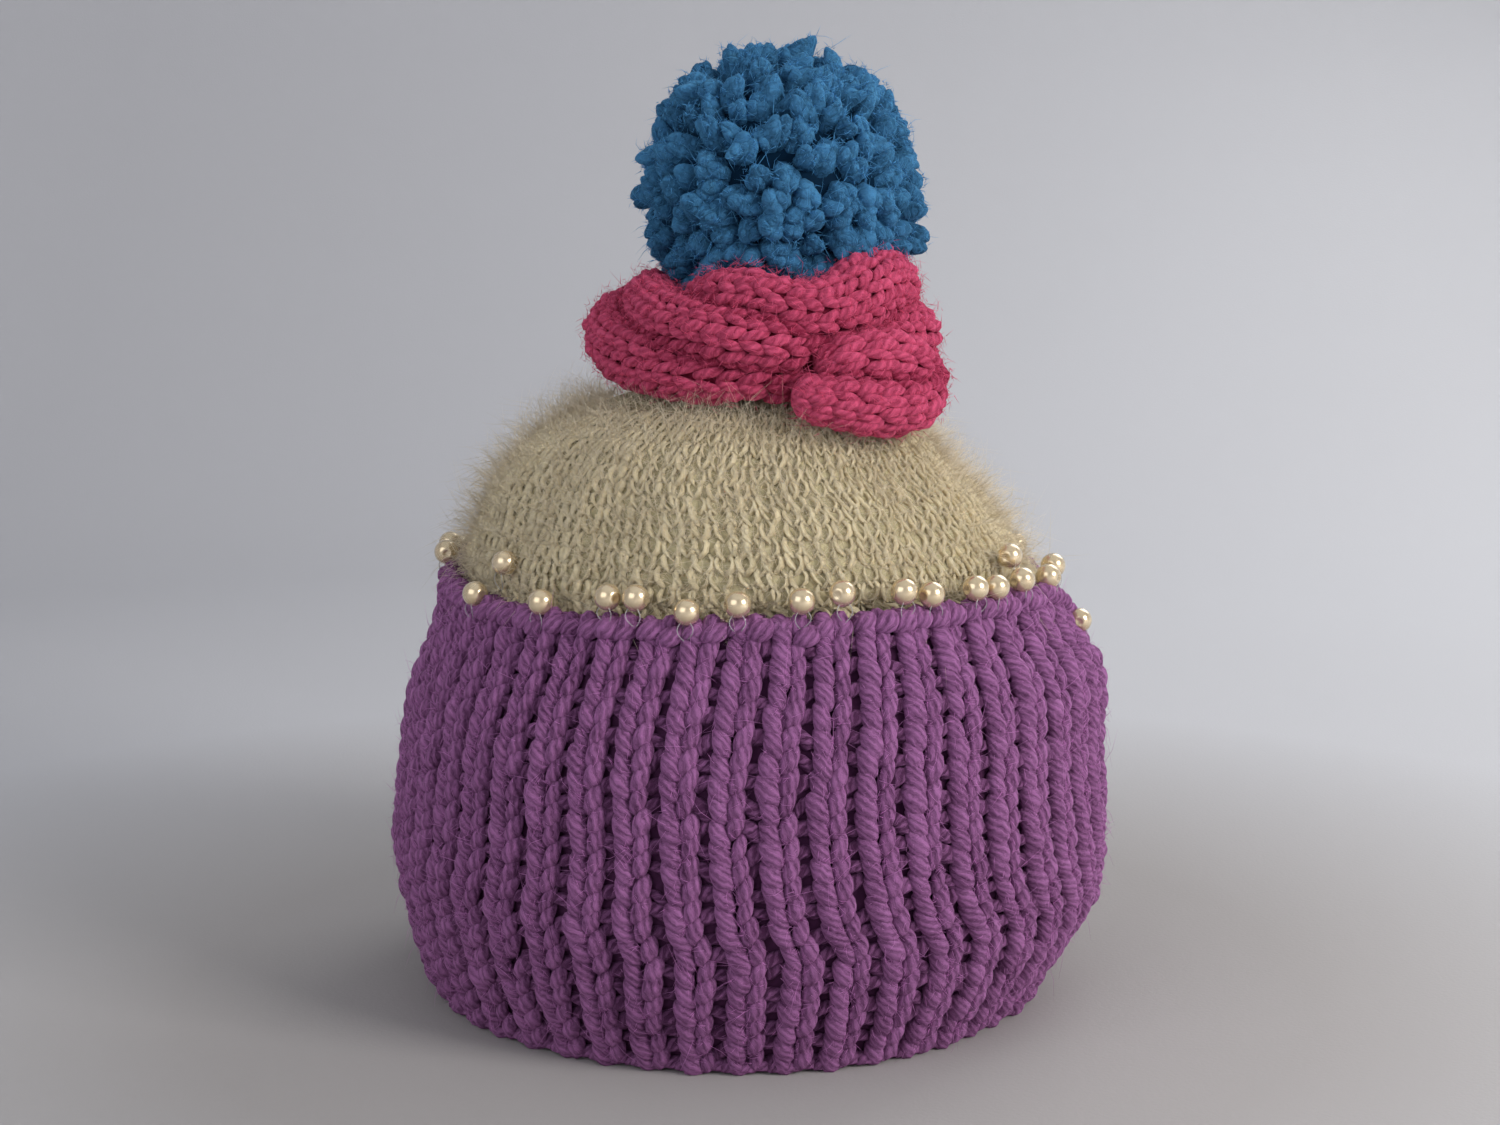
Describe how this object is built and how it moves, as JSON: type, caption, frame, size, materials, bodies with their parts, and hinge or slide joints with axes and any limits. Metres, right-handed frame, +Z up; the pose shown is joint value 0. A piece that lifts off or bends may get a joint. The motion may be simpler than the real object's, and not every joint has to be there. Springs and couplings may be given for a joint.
{
  "type": "knitted tea cosy",
  "caption": "Round knitted cover for a pot: ribbed wool sides with two side slots, a mohair dome, a knitted twist and a pompom on top, standing on its hem.",
  "frame": {"origin": "middle of the hem, on the surface that the cosy stands on", "axes": "+Z up, the front panel faces -Y, the wide slot is at +X and the narrow slot at -X"},
  "size_m": [0.1759, 0.176, 0.2306],
  "materials": {
    "purple_wool": "chunky plied wool in single rib, matt with a light fuzz",
    "cream_mohair": "thin brushed mohair in loose stocking stitch, with a long soft halo",
    "pink_wool": "plied wool in stocking stitch, rolled and twisted, matt",
    "blue_roving": "soft unplied roving, cut ends, matt and woolly",
    "bead_pearl": "champagne pearl lacquer over a round bead"
  },
  "bodies": {
    "root": {"front_panel": "purple_wool", "back_panel": "purple_wool", "mohair_top": "cream_mohair", "knitted_twist": "pink_wool", "pompom": "blue_roving"}
  },
  "joints": []
}
